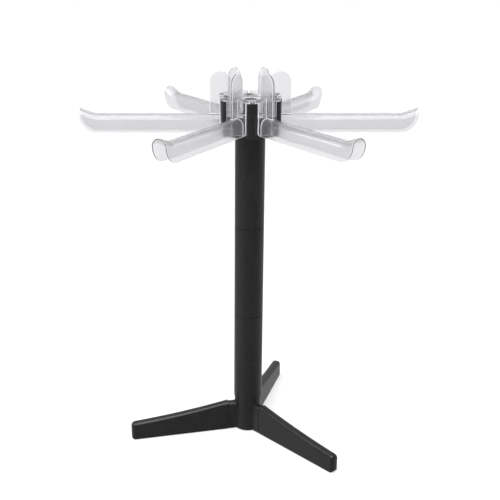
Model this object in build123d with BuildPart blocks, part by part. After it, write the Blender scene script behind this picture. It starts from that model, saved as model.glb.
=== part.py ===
"""Free-standing drying rack: a black plastic stand that plugs together, and clear arms that lift out."""
from build123d import *

import os
from math import cos, radians, sin, tan

# Driving dimensions, in millimetres and degrees

# Column sections, all alike, each with a spigot on top that enters the next one
section_names = ["lower_section", "middle_section", "upper_section"]
section_length = 110.0
section_radius = 17.2
section_wall = 2.6
section_chamfer = 0.5
spigot_length = 14.0
spigot_wall = 2.4
spigot_clearance = 0.08

# Base hub, with a stub for each leg
base_height = 43.5
base_radius = 16.4
base_chamfer = 0.9
base_core_radius = 5.5
base_web = 3.0
stub_drop = 1.5

# Legs, measured along the radius from the column's axis and up from the floor
leg_sides = ["right", "back", "left"]
first_leg_angle = 40.7
leg_reach = 146.3
leg_width = 11.5
leg_tip_height = 21.6
leg_mid_height = 27.8
leg_root_height = 37.4
leg_round = 4.4
leg_tip_round = 5.4
leg_heel_round = 3.2
leg_seam_radius = 25.2
leg_seam_gap = 0.3
tongue_length = 13.5
tongue_width = 6.0
tongue_foot = 4.5
tongue_head = 6.0
tongue_clearance = 0.2

# Foot pads, let into the undersides of the legs
pad_length = 26.0
pad_width = 6.0
pad_thickness = 1.8
pad_proud = 0.6
pad_inset = 8.0

# Head: a hexagonal drum with a post at each corner, and a recess for an arm between each two posts
arm_places = ["front_right", "right", "back_right", "back_left", "left", "front_left"]
first_arm_angle = 30.0
facet_apothem = 31.6
post_apothem = 33.4
post_corner_round = 8.0
dovetail_angle = 20.0
deck_height = 23.0
deck_thickness = 3.0
head_wall = 2.6
head_rib = 2.2
head_chamfer = 0.6
post_rise = 16.1
well_radius = 28.5
window_lip = 0.6
socket_relief = 0.5

# Centre cap: a disc amid the arms' roots, on a stem pressed into the deck
cap_radius = 7.5
cap_thickness = 2.5
cap_drop = 0.3
cap_chamfer = 0.5
cap_stem_radius = 4.0
cap_stem_fillet = 1.5
cap_stem_grip = 5.5
cap_stem_clearance = 0.05

# Arms: a root block on the deck, a dovetail plate in the drum's recess, a bar that rests on the posts,
# a gutter and a thumb fin
root_cap_gap = 1.2
root_clearance = 0.3
plate_width = 25.2
plate_thickness = 2.4
plate_corner_round = 4.2
plate_gap = 0.3
dovetail_clearance = 0.2
bar_length = 32.8
bar_depth = 4.0
bar_height = 3.7
bar_round = 1.6
gutter_width = 17.0
gutter_wall = 1.8
gutter_height = 20.0
gutter_below_deck = 0.4
arm_reach = 189.0
tip_cut_radius = 19.0
flare_length = 20.0
flare_angle = 20.0
flare_bend_radius = 18.0
fin_width = 24.5
fin_thickness = 2.8
fin_rise = 47.0

# One overrun serves all the cuts
overrun = 2.0

# Levels, radii and angles worked out from the dimensions above
arm_count = len(arm_places)
leg_angles = {side: first_leg_angle + number * 360 / len(leg_sides) for number, side in enumerate(leg_sides)}
arm_angles = {place: first_arm_angle + number * 360 / arm_count for number, place in enumerate(arm_places)}
half_step = 180 / arm_count
stub_top = leg_root_height - stub_drop
section_bore = section_radius - section_wall
spigot_radius = section_bore - spigot_clearance
spigot_bore = spigot_radius - spigot_wall
head_foot = base_height + section_length * len(section_names)
deck = head_foot + deck_height
post_top = deck + post_rise
post_reach = post_apothem / cos(radians(half_step))
cap_foot = post_top - cap_drop - cap_thickness
plate_inner = facet_apothem + plate_gap
plate_outer = plate_inner + plate_thickness
plate_middle = plate_inner + plate_thickness / 2
window_width = plate_width - 2 * window_lip
root_radius = cap_radius + root_cap_gap
root_wedge_apex = root_clearance / sin(radians(half_step))
root_wedge_half = (post_reach - root_wedge_apex) * tan(radians(half_step))
dovetail_spread = plate_gap * tan(radians(dovetail_angle)) + dovetail_clearance
crown = deck - gutter_below_deck
arm_foot = crown - gutter_height
fin_centre_height = crown + fin_rise - fin_width / 2


def radial_plane(bearing, across=0.0):
    """Upright plane through the axis: local x runs outwards, local y upwards. Bearings start at the front."""
    outwards = Vector(0, -1, 0).rotate(Axis.Z, bearing)
    sideways = outwards.cross(Vector(0, 0, 1))
    return Plane(origin=sideways * across, x_dir=outwards, z_dir=sideways)


def facing_plane(bearing, radius):
    """Upright plane square to the radius: local x runs sideways, local y upwards, its normal outwards."""
    outwards = Vector(0, -1, 0).rotate(Axis.Z, bearing)
    sideways = Vector(0, 0, 1).cross(outwards)
    return Plane(origin=outwards * radius, x_dir=sideways, z_dir=outwards)


def save(piece, name):
    """Label a finished piece and write it under its own name."""
    piece.label = name
    export_step(piece, f"parts/{name}.step")


os.makedirs("parts", exist_ok=True)

# Base hub: a short round boss with its spigot, three stubs and a socket in each stub
with BuildPart() as base_hub:
    with BuildSketch(Plane.XY.offset(pad_proud)):
        Circle(base_radius)
    extrude(amount=base_height - pad_proud)
    chamfer(base_hub.edges().group_by(Axis.Z)[-1], length=base_chamfer)
    for bearing in leg_angles.values():
        with BuildSketch(facing_plane(bearing, 0)) as stub_end:
            with Locations((0, pad_proud)):
                Rectangle(leg_width, stub_top - pad_proud, align=(Align.CENTER, Align.MIN))
            fillet(stub_end.vertices().group_by(Axis.Y)[-1], radius=leg_round)
        extrude(amount=leg_seam_radius)
    with BuildSketch(Plane.XY.offset(base_height)):
        Circle(spigot_radius)
    extrude(amount=spigot_length)
    chamfer(base_hub.edges().group_by(Axis.Z)[-1], length=section_chamfer)
    with BuildSketch(Plane.XY.offset(leg_root_height)):
        Circle(spigot_bore)
    extrude(amount=base_height + spigot_length, mode=Mode.SUBTRACT)
    with BuildSketch(Plane.XY.offset(pad_proud)):
        Circle(base_core_radius)
    extrude(amount=leg_root_height - base_web - pad_proud, mode=Mode.SUBTRACT)
    socket_corner = (leg_seam_radius - tongue_length - tongue_clearance, tongue_foot - tongue_clearance)
    for bearing in leg_angles.values():
        with BuildSketch(radial_plane(bearing)):
            with Locations(socket_corner):
                Rectangle(
                    tongue_length + tongue_clearance + overrun,
                    leg_root_height - tongue_foot - tongue_head + 2 * tongue_clearance,
                    align=(Align.MIN, Align.MIN),
                )
        extrude(amount=tongue_width / 2 + tongue_clearance, both=True, mode=Mode.SUBTRACT)
save(base_hub.part, "base_hub")

# Legs: tapered bars with rounded tops and ends, and a tongue that enters the hub
for side, bearing in leg_angles.items():
    leg_root = leg_seam_radius + leg_seam_gap
    with BuildPart() as leg:
        with BuildSketch(radial_plane(bearing)) as leg_profile:
            with BuildLine():
                Line((leg_root, leg_root_height), (leg_root, pad_proud))
                Line((leg_root, pad_proud), (leg_reach, pad_proud))
                Line((leg_reach, pad_proud), (leg_reach, leg_tip_height))
                ThreePointArc(
                    (leg_reach, leg_tip_height),
                    ((leg_root + leg_reach) / 2, leg_mid_height),
                    (leg_root, leg_root_height),
                )
            make_face()
            fillet(leg_profile.vertices().group_by(Axis.X)[-1].sort_by(Axis.Y)[-1], radius=leg_tip_round)
        extrude(amount=leg_width / 2, both=True)
        # Round the outline along the top and down the tip, on both sides
        outwards = radial_plane(bearing).x_dir
        root_centre = outwards * leg_root
        side_faces = leg.faces().filter_by(radial_plane(bearing))
        outline = side_faces.edges().filter_by(
            lambda edge: edge.center().Z > pad_proud and (edge.center() - root_centre).dot(outwards) > overrun
        )
        fillet(outline, radius=leg_round)
        # Round the heel below the tip
        with BuildSketch(radial_plane(bearing)) as heel_trim:
            with Locations((leg_root, pad_proud)):
                Rectangle(leg_reach - leg_root, leg_root_height, align=(Align.MIN, Align.MIN))
            fillet(heel_trim.vertices().group_by(Axis.X)[-1].sort_by(Axis.Y)[0], radius=leg_heel_round)
        extrude(amount=leg_width, both=True, mode=Mode.INTERSECT)
        with BuildSketch(radial_plane(bearing)):
            with Locations((leg_seam_radius - tongue_length, tongue_foot)):
                Rectangle(
                    tongue_length + leg_seam_gap + overrun,
                    leg_root_height - tongue_foot - tongue_head,
                    align=(Align.MIN, Align.MIN),
                )
        extrude(amount=tongue_width / 2, both=True)
        pad_centre = outwards * (leg_reach - pad_inset - pad_length / 2)
        pad_plane = Plane(origin=pad_centre, x_dir=outwards, z_dir=(0, 0, 1))
        with BuildSketch(pad_plane):
            SlotOverall(pad_length, pad_width)
        extrude(amount=pad_thickness, mode=Mode.SUBTRACT)
    save(leg.part, f"leg_{side}")
    with BuildPart() as foot_pad:
        with BuildSketch(pad_plane):
            SlotOverall(pad_length, pad_width)
        extrude(amount=pad_thickness)
    save(foot_pad.part, f"foot_pad_{side}")

# Column sections: tubes with a spigot on top
for number, name in enumerate(section_names):
    section_foot = base_height + number * section_length
    section_top = section_foot + section_length
    with BuildPart() as section:
        with BuildSketch(Plane.XY.offset(section_foot)):
            Circle(section_radius)
        extrude(amount=section_length)
        chamfer(section.edges(), length=section_chamfer)
        with BuildSketch(Plane.XY.offset(section_top)):
            Circle(spigot_radius)
        extrude(amount=spigot_length)
        chamfer(section.edges().group_by(Axis.Z)[-1], length=section_chamfer)
        with BuildSketch(Plane.XY.offset(section_foot)):
            Circle(section_bore)
        extrude(amount=section_length - section_wall, mode=Mode.SUBTRACT)
        with BuildSketch(Plane.XY.offset(section_foot)):
            Circle(spigot_bore)
        extrude(amount=section_length + spigot_length, mode=Mode.SUBTRACT)
    save(section.part, name)

# Head: a drum that turns on the top spigot, with a post at each corner
with BuildPart() as head:
    with BuildSketch(Plane.XY.offset(head_foot)) as drum_outline:
        RegularPolygon(post_apothem, arm_count, major_radius=False, rotation=half_step)
        fillet(drum_outline.vertices(), radius=post_corner_round)
    extrude(amount=post_top - head_foot)
    chamfer(head.faces().sort_by(Axis.Z)[0].edges(), length=head_chamfer)
    chamfer(head.faces().sort_by(Axis.Z)[-1].edges(), length=head_chamfer)
    # Dovetail recesses that the arms' plates slide down into
    with BuildSketch(Plane.XY.offset(head_foot)):
        for bearing in arm_angles.values():
            with Locations(Location((0, 0, 0), (0, 0, bearing + 180))):
                with Locations((0, facet_apothem)):
                    Trapezoid(
                        plate_width + 2 * dovetail_spread,
                        post_apothem - facet_apothem + overrun,
                        90 - dovetail_angle,
                        align=(Align.CENTER, Align.MIN),
                    )
    extrude(amount=post_top - head_foot, mode=Mode.SUBTRACT)
    # Windows between the posts, and the round well inside them
    with BuildSketch(Plane.XY.offset(deck)):
        Circle(well_radius)
        for bearing in arm_angles.values():
            with Locations(Location((0, 0, 0), (0, 0, bearing))):
                Rectangle(window_width, post_reach, align=(Align.CENTER, Align.MAX))
    extrude(amount=post_rise, mode=Mode.SUBTRACT)
    # Hollow underside, with a boss that turns on the spigot and a rib to each post
    with BuildSketch(Plane.XY.offset(head_foot)):
        RegularPolygon(facet_apothem - head_wall, arm_count, major_radius=False, rotation=half_step)
        Circle(section_radius, mode=Mode.SUBTRACT)
        for bearing in arm_angles.values():
            with Locations(Location((0, 0, 0), (0, 0, bearing + half_step))):
                Rectangle(head_rib, post_reach, align=(Align.CENTER, Align.MAX), mode=Mode.SUBTRACT)
    extrude(amount=deck_height - deck_thickness, mode=Mode.SUBTRACT)
    with BuildSketch(Plane.XY.offset(head_foot)):
        Circle(section_bore)
    extrude(amount=spigot_length + socket_relief, mode=Mode.SUBTRACT)
    # Blind hole for the cap's stem
    with BuildSketch(Plane.XY.offset(deck)):
        Circle(cap_stem_radius + cap_stem_clearance)
    extrude(amount=-cap_stem_grip - socket_relief, mode=Mode.SUBTRACT)
save(head.part, "head")

# Centre cap: a thin disc on a stem
with BuildPart() as centre_cap:
    with BuildSketch(Plane.XY.offset(cap_foot)):
        Circle(cap_radius)
    extrude(amount=cap_thickness)
    chamfer(centre_cap.edges(), length=cap_chamfer)
    with BuildSketch(Plane.XY.offset(deck - cap_stem_grip)):
        Circle(cap_stem_radius)
    extrude(amount=cap_foot - deck + cap_stem_grip)
    cap_underside = centre_cap.edges().filter_by_position(Axis.Z, cap_foot, cap_foot)
    fillet(cap_underside.filter_by(GeomType.CIRCLE).sort_by(SortBy.RADIUS)[0], radius=cap_stem_fillet)
    chamfer(centre_cap.edges().group_by(Axis.Z)[0], length=cap_chamfer)
save(centre_cap.part, "centre_cap")

# Arms, each made along its own bearing: plate, bar, flared gutter and fin in one moulding
for place, bearing in arm_angles.items():
    side_view = radial_plane(bearing)
    with BuildPart() as arm:
        # Gutter: an upturned channel whose crown flares up at the tip
        with BuildLine(side_view) as crown_line:
            straight = Line((plate_inner, crown), (arm_reach - flare_length, crown))
            bend = JernArc(straight @ 1, straight % 1, radius=flare_bend_radius, arc_size=flare_angle)
            Line(bend @ 1, bend @ 1 + (bend % 1) * flare_length)
        with BuildSketch(facing_plane(bearing, plate_inner)):
            with BuildLine():
                outer_arc = ThreePointArc(
                    (-gutter_width / 2, crown - gutter_width / 2),
                    (0, crown),
                    (gutter_width / 2, crown - gutter_width / 2),
                )
                Line(outer_arc @ 1, (gutter_width / 2, arm_foot))
                Line((gutter_width / 2, arm_foot), (-gutter_width / 2, arm_foot))
                Line((-gutter_width / 2, arm_foot), outer_arc @ 0)
            make_face()
            with Locations((0, arm_foot)):
                Rectangle(
                    gutter_width - 2 * gutter_wall,
                    gutter_height - gutter_width / 2,
                    align=(Align.CENTER, Align.MIN),
                    mode=Mode.SUBTRACT,
                )
            with Locations((0, crown - gutter_width / 2)):
                Circle(gutter_width / 2 - gutter_wall, mode=Mode.SUBTRACT)
        sweep(path=crown_line.wire())
        # Trim the tip square on top and round below
        with BuildSketch(side_view) as tip_trim:
            with Locations((0, arm_foot)):
                Rectangle(arm_reach, gutter_height + fin_rise, align=(Align.MIN, Align.MIN))
            lower_corner = tip_trim.vertices().group_by(Axis.X)[-1].sort_by(Axis.Y)[0]
            fillet(lower_corner, radius=tip_cut_radius)
        extrude(amount=gutter_width, both=True, mode=Mode.INTERSECT)
        # Plate with dovetail edges
        with BuildSketch(facing_plane(bearing, plate_inner)) as plate_outline:
            with Locations((0, arm_foot)):
                Rectangle(
                    plate_width,
                    post_top + bar_height / 2 - arm_foot,
                    align=(Align.CENTER, Align.MIN),
                )
            fillet(plate_outline.vertices().group_by(Axis.Y)[0], radius=plate_corner_round)
        extrude(amount=plate_thickness, taper=dovetail_angle)
        # Root block: fills its share of the well, between the window's sides and round the cap
        with BuildSketch(Plane.XY.offset(deck + root_clearance)):
            with Locations(Location((0, 0, 0), (0, 0, bearing + 180))):
                Rectangle(
                    window_width - 2 * root_clearance,
                    plate_middle,
                    align=(Align.CENTER, Align.MIN),
                )
                Polygon(
                    (0, root_wedge_apex),
                    (root_wedge_half, post_reach),
                    (-root_wedge_half, post_reach),
                    align=None,
                    mode=Mode.INTERSECT,
                )
                Circle(root_radius, mode=Mode.SUBTRACT)
        extrude(amount=post_top - deck - root_clearance)
        # Bar that rests on the posts at both its ends
        with BuildSketch(side_view) as bar_profile:
            with Locations((plate_outer, post_top)):
                Rectangle(bar_depth, bar_height, align=(Align.MAX, Align.MIN))
            fillet(bar_profile.vertices().group_by(Axis.Y)[-1], radius=bar_round)
        extrude(amount=bar_length / 2, both=True)
        # Thumb fin with a round top
        with BuildSketch(side_view):
            with Locations((plate_middle, fin_centre_height)):
                Circle(fin_width / 2)
                Rectangle(fin_width, fin_centre_height - post_top, align=(Align.CENTER, Align.MAX))
                Rectangle(
                    fin_width / 2,
                    fin_centre_height - crown + gutter_wall,
                    align=(Align.MIN, Align.MAX),
                )
        extrude(amount=fin_thickness / 2, both=True)
    save(arm.part, f"arm_{place}")
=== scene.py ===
import math

import bpy
from mathutils import Matrix, Vector

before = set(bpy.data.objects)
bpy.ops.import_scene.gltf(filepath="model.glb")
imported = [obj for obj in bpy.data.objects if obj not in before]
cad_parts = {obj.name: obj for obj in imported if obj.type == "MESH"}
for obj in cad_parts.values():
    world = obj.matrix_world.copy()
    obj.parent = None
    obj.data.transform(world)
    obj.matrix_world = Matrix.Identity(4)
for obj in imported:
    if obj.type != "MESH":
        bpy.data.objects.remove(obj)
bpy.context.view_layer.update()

# Camera, fitted to the photograph: metres, degrees and pixels of a 500 pixel wide picture
CAMERA_RADIUS = 0.96900
CAMERA_HEIGHT = 0.57089
CAMERA_BEARING = -3.2
CAMERA_TILT = 19.17
CAMERA_PAN = 0.06
CAMERA_ROLL = 0.55
FOCAL_PIXELS = 869.13
PICTURE_WIDTH = 500
SENSOR = 36.0
CLIP_NEAR, CLIP_FAR = 0.01, 50

# Stage: metres, and how white and how bright of itself each sheet is
FLOOR_RADIUS = 2.0
COVE_RADIUS = 1.0
WALL_TOP = 3.2
STAGE_STEPS = 96
FLOOR_RINGS = 4
COVE_STEPS = 16
FLOOR_WHITE = 0.62
WALL_WHITE = 0.85
FLOOR_GLOW = 0.37
WALL_GLOW = 0.165
STAGE_ROUGHNESS = 0.9
STAGE_SPECULAR = 0.1

# Surroundings: levels, with one dark quarter for the gloss
WORLD_BRIGHT = 0.5
WORLD_DARK = 0.2
DARK_QUARTER = (0.34, -0.94, 0.0)
DARK_FULL = 0.85

# Softboxes: name, place, target, width, height and watts
SOFTBOXES = (
    ("over", (-0.2, -0.75, 1.9), (0, 0, 0.1), 2.0, 2.3, 50),
    ("left", (-1.4, 0.35, 1.3), (0, 0, 0.1), 0.6, 1.2, 8),
    ("rim", (1.5, 1.1, 0.9), (0, 0, 0.25), 0.5, 1.4, 1.6),
)

# Edge rounding: metres and degrees, by the first word of a node's name
WELD_REACH = 0.00001
FLAT_ANGLE = 0.05
EDGE_SEGMENTS = 3
EDGE_ANGLE = 22
LEG_EDGE_ANGLE = 60
EDGE_ROUND = {
    "arm": 0.0004,
    "head": 0.0004,
    "centre": 0.0004,
    "leg": 0.0004,
    "lower": 0.0006,
    "middle": 0.0006,
    "upper": 0.0006,
    "base": 0.0008,
}

# Noises: scale per metre, detail and roughness; bumps: strength and depth in metres
BLACK_GRAIN = (1100.0, 3.0, 0.6)
BLACK_CLOUD = (24.0, 4.0, 0.65)
BLACK_RUB = (38.0, 3.0, 0.5)
BLACK_BUMP = (0.04, 0.00003)
CLEAR_FLOW = (45.0, 2.0, 0.5)
CLEAR_HAZE = (160.0, 5.0, 0.7)
CLEAR_BUMP = (0.25, 0.0003)
RUBBER_GRAIN = (700.0, 4.0, 0.5)
RUBBER_BUMP = (0.5, 0.0001)

# The part of a noise's range that is used, and what it is turned into
NOISE_SPAN = (0.3, 0.7)
RUB_SPAN = (0.35, 0.75)
BLACK_ROUGHNESS = (0.20, 0.26)
CLEAR_ROUGHNESS = (0.10, 0.17)
EDGE_ROUGHNESS = (0.25, 0.35)
RUBBER_ROUGHNESS = (0.75, 0.9)

# Colours and clearness
BLACK_CLEAN = (0.011, 0.011, 0.0115, 1)
BLACK_RUBBED = (0.0135, 0.0135, 0.014, 1)
RUBBER_BLACK = (0.02, 0.02, 0.021, 1)
CLEAR_TINT = (0.82, 0.815, 0.835, 1)
# Pale, half-opaque finish for the clear arms' rounded edges: a painted highlight along every edge
EDGE_HIGHLIGHT_TINT = (0.93, 0.93, 0.97, 1)
WHITE = (1, 1, 1, 1)
CLEAR_TRANSMISSION = 0.965
EDGE_HIGHLIGHT_TRANSMISSION = 0.35
BLACK_IOR = 1.45
CLEAR_IOR = 1.49


def make_camera():
    """Camera at the photograph's viewpoint, turned about the column's axis to its bearing."""
    tilt, pan, roll = (math.radians(a) for a in (CAMERA_TILT, CAMERA_PAN, CAMERA_ROLL))
    level = math.cos(tilt)
    forward = Vector((math.sin(pan) * level, math.cos(pan) * level, -math.sin(tilt)))
    right = Vector((math.cos(pan), -math.sin(pan), 0))
    up = right.cross(forward)
    rolled_right = right * math.cos(roll) + up * math.sin(roll)
    rolled_up = up * math.cos(roll) - right * math.sin(roll)
    turn = Matrix.Rotation(math.radians(CAMERA_BEARING), 4, "Z")
    place = Matrix((
        (rolled_right.x, rolled_up.x, -forward.x, 0),
        (rolled_right.y, rolled_up.y, -forward.y, -CAMERA_RADIUS),
        (rolled_right.z, rolled_up.z, -forward.z, CAMERA_HEIGHT),
        (0, 0, 0, 1),
    ))
    data = bpy.data.cameras.new("camera")
    data.sensor_width = SENSOR
    data.lens = FOCAL_PIXELS / PICTURE_WIDTH * SENSOR
    data.clip_start, data.clip_end = CLIP_NEAR, CLIP_FAR
    camera = bpy.data.objects.new("camera", data)
    camera.matrix_world = turn @ place
    bpy.context.scene.collection.objects.link(camera)
    bpy.context.scene.camera = camera


def new_material(name):
    """An empty node material with its tree and Principled shader."""
    material = bpy.data.materials.new(name)
    material.use_nodes = True
    return material, material.node_tree, material.node_tree.nodes["Principled BSDF"]


def noise(tree, settings):
    """A noise fixed to the piece, from its scale, detail and roughness."""
    node = tree.nodes.new("ShaderNodeTexNoise")
    for key, value in zip(("Scale", "Detail", "Roughness"), settings):
        node.inputs[key].default_value = value
    place = tree.nodes.new("ShaderNodeTexCoord").outputs["Object"]
    tree.links.new(place, node.inputs["Vector"])
    return node.outputs["Fac"]


def ramp(tree, source, span, result):
    """Maps a value from one range to another."""
    node = tree.nodes.new("ShaderNodeMapRange")
    tree.links.new(source, node.inputs["Value"])
    for key, value in zip(("From Min", "From Max", "To Min", "To Max"), span + result):
        node.inputs[key].default_value = value
    return node.outputs["Result"]


def bump(tree, shader, height, settings):
    """Raises the surface by a value, from the bump's strength and depth."""
    node = tree.nodes.new("ShaderNodeBump")
    node.inputs["Strength"].default_value, node.inputs["Distance"].default_value = settings
    tree.links.new(height, node.inputs["Height"])
    tree.links.new(node.outputs["Normal"], shader.inputs["Normal"])


def roughen(tree, shader, source, result):
    """Lets a noise vary the gloss within a range."""
    tree.links.new(ramp(tree, source, NOISE_SPAN, result), shader.inputs["Roughness"])


def black_plastic():
    """Satin moulded black: fine grain, a drifting gloss and a few rubbed patches."""
    material, tree, shader = new_material("black_plastic")
    tint = tree.nodes.new("ShaderNodeMix")
    tint.data_type = "RGBA"
    tint.inputs["A"].default_value = BLACK_CLEAN
    tint.inputs["B"].default_value = BLACK_RUBBED
    rubbed = ramp(tree, noise(tree, BLACK_RUB), RUB_SPAN, (0.0, 1.0))
    tree.links.new(rubbed, tint.inputs["Factor"])
    tree.links.new(tint.outputs["Result"], shader.inputs["Base Color"])
    shader.inputs["IOR"].default_value = BLACK_IOR
    roughen(tree, shader, noise(tree, BLACK_CLOUD), BLACK_ROUGHNESS)
    bump(tree, shader, noise(tree, BLACK_GRAIN), BLACK_BUMP)
    return material


def clear_plastic(name, tint, transmission, roughness):
    """Slightly hazy clear moulding with flow ripples; a paler, less clear kind on its rounded
    edges is a painted highlight along them.
    """
    material, tree, shader = new_material(name)
    shader.inputs["Base Color"].default_value = tint
    shader.inputs["Transmission Weight"].default_value = transmission
    shader.inputs["IOR"].default_value = CLEAR_IOR
    roughen(tree, shader, noise(tree, CLEAR_HAZE), roughness)
    bump(tree, shader, noise(tree, CLEAR_FLOW), CLEAR_BUMP)
    return material


def pad_rubber():
    """Matt black rubber with a fine open grain."""
    material, tree, shader = new_material("pad_rubber")
    grain = noise(tree, RUBBER_GRAIN)
    shader.inputs["Base Color"].default_value = RUBBER_BLACK
    roughen(tree, shader, grain, RUBBER_ROUGHNESS)
    bump(tree, shader, grain, RUBBER_BUMP)
    return material


def soften(node, width, angle):
    """Joins a moulding's facets and rounds its sharp edges; the rounds take its last material."""
    weld = node.modifiers.new("weld", "WELD")
    weld.merge_threshold = WELD_REACH
    flats = node.modifiers.new("flats", "DECIMATE")
    flats.decimate_type = "DISSOLVE"
    flats.angle_limit = math.radians(FLAT_ANGLE)
    bevel = node.modifiers.new("edge_round", "BEVEL")
    bevel.width = width
    bevel.segments = EDGE_SEGMENTS
    bevel.limit_method = "ANGLE"
    bevel.angle_limit = math.radians(angle)
    bevel.use_clamp_overlap = False
    # On the clear arms this last material is the pale edge finish, a painted highlight along the
    # rounds
    bevel.material = len(node.data.materials) - 1
    normals = node.modifiers.new("normals", "WEIGHTED_NORMAL")
    normals.keep_sharp = False


def dress_nodes():
    """Gives each CAD node its materials and its rounded edges."""
    slot_of = {"arm": "clear_plastic", "foot": "pad_rubber"}
    materials = {
        "black_plastic": [black_plastic()],
        "clear_plastic": [
            clear_plastic("clear_plastic", CLEAR_TINT, CLEAR_TRANSMISSION, CLEAR_ROUGHNESS),
            # The second, paler material paints a highlight on the arms' rounded edges
            clear_plastic("clear_edge_highlight", EDGE_HIGHLIGHT_TINT, EDGE_HIGHLIGHT_TRANSMISSION, EDGE_ROUGHNESS),
        ],
        "pad_rubber": [pad_rubber()],
    }
    for name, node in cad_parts.items():
        kind = name.split("_")[0]
        slot = slot_of.get(kind, "black_plastic")
        node.data.materials.clear()
        for material in materials[slot]:
            node.data.materials.append(material)
        if kind in EDGE_ROUND:
            angle = LEG_EDGE_ANGLE if kind == "leg" else EDGE_ANGLE
            soften(node, EDGE_ROUND[kind], angle)


def round_sheet(name, profile, filled):
    """A round sheet from a list of radius and height pairs, inner ring first."""
    verts = []
    for radius, height in profile:
        for step in range(STAGE_STEPS):
            turn = 2 * math.pi * step / STAGE_STEPS
            verts.append((radius * math.cos(turn), radius * math.sin(turn), height))
    faces = [tuple(range(STAGE_STEPS))] if filled else []
    for ring in range(len(profile) - 1):
        inner = ring * STAGE_STEPS
        outer = inner + STAGE_STEPS
        for step in range(STAGE_STEPS):
            after = (step + 1) % STAGE_STEPS
            faces.append((inner + step, outer + step, outer + after, inner + after))
    mesh = bpy.data.meshes.new(name)
    mesh.from_pydata(verts, [], faces)
    mesh.polygons.foreach_set("use_smooth", [True] * len(mesh.polygons))
    sheet = bpy.data.objects.new(name, mesh)
    bpy.context.scene.collection.objects.link(sheet)
    return sheet


def paint_stage(sheet, white, glow):
    """A plain pale finish that doesn't show in the rack's gloss."""
    material, _, shader = new_material(sheet.name)
    shader.inputs["Base Color"].default_value = (white, white, white, 1)
    shader.inputs["Emission Color"].default_value = WHITE
    shader.inputs["Emission Strength"].default_value = glow
    shader.inputs["Roughness"].default_value = STAGE_ROUGHNESS
    shader.inputs["Specular IOR Level"].default_value = STAGE_SPECULAR
    sheet.data.materials.append(material)
    sheet.visible_glossy = False


def make_stage():
    """Pale round floor, and a wall that rises from it all round in a soft curve."""
    rings = [(FLOOR_RADIUS * k / FLOOR_RINGS, 0.0) for k in range(1, FLOOR_RINGS + 1)]
    floor = round_sheet("floor", rings, True)
    cove = []
    for step in range(COVE_STEPS + 1):
        bend = math.radians(90 * step / COVE_STEPS)
        reach = COVE_RADIUS * math.sin(bend)
        cove.append((FLOOR_RADIUS + reach, COVE_RADIUS * (1 - math.cos(bend))))
    cove.append((FLOOR_RADIUS + COVE_RADIUS, WALL_TOP))
    wall = round_sheet("wall", cove, False)
    paint_stage(floor, FLOOR_WHITE, FLOOR_GLOW)
    paint_stage(wall, WALL_WHITE, WALL_GLOW)


def softbox(name, place, target, width, height, power):
    """A rectangular light that faces its target."""
    data = bpy.data.lights.new(name, "AREA")
    data.shape = "RECTANGLE"
    data.size, data.size_y = width, height
    data.energy = power
    light = bpy.data.objects.new(name, data)
    light.location = place
    light.rotation_mode = "QUATERNION"
    light.rotation_quaternion = (Vector(target) - Vector(place)).to_track_quat("-Z", "Y")
    light.visible_camera = False
    bpy.context.scene.collection.objects.link(light)


def make_lights():
    """Surroundings with one dark quarter, and softboxes over and beside the rack."""
    world = bpy.data.worlds.new("world")
    bpy.context.scene.world = world
    world.use_nodes = True
    tree = world.node_tree
    facing = tree.nodes.new("ShaderNodeVectorMath")
    facing.operation = "DOT_PRODUCT"
    direction = tree.nodes.new("ShaderNodeTexCoord").outputs["Generated"]
    tree.links.new(direction, facing.inputs[0])
    facing.inputs[1].default_value = DARK_QUARTER
    level = ramp(tree, facing.outputs["Value"], (0.0, DARK_FULL), (WORLD_BRIGHT, WORLD_DARK))
    background = tree.nodes["Background"]
    tree.links.new(level, background.inputs["Strength"])
    background.inputs["Color"].default_value = WHITE
    for box in SOFTBOXES:
        softbox(*box)


dress_nodes()
make_stage()
make_lights()
make_camera()
bpy.context.scene.view_settings.view_transform = "Standard"
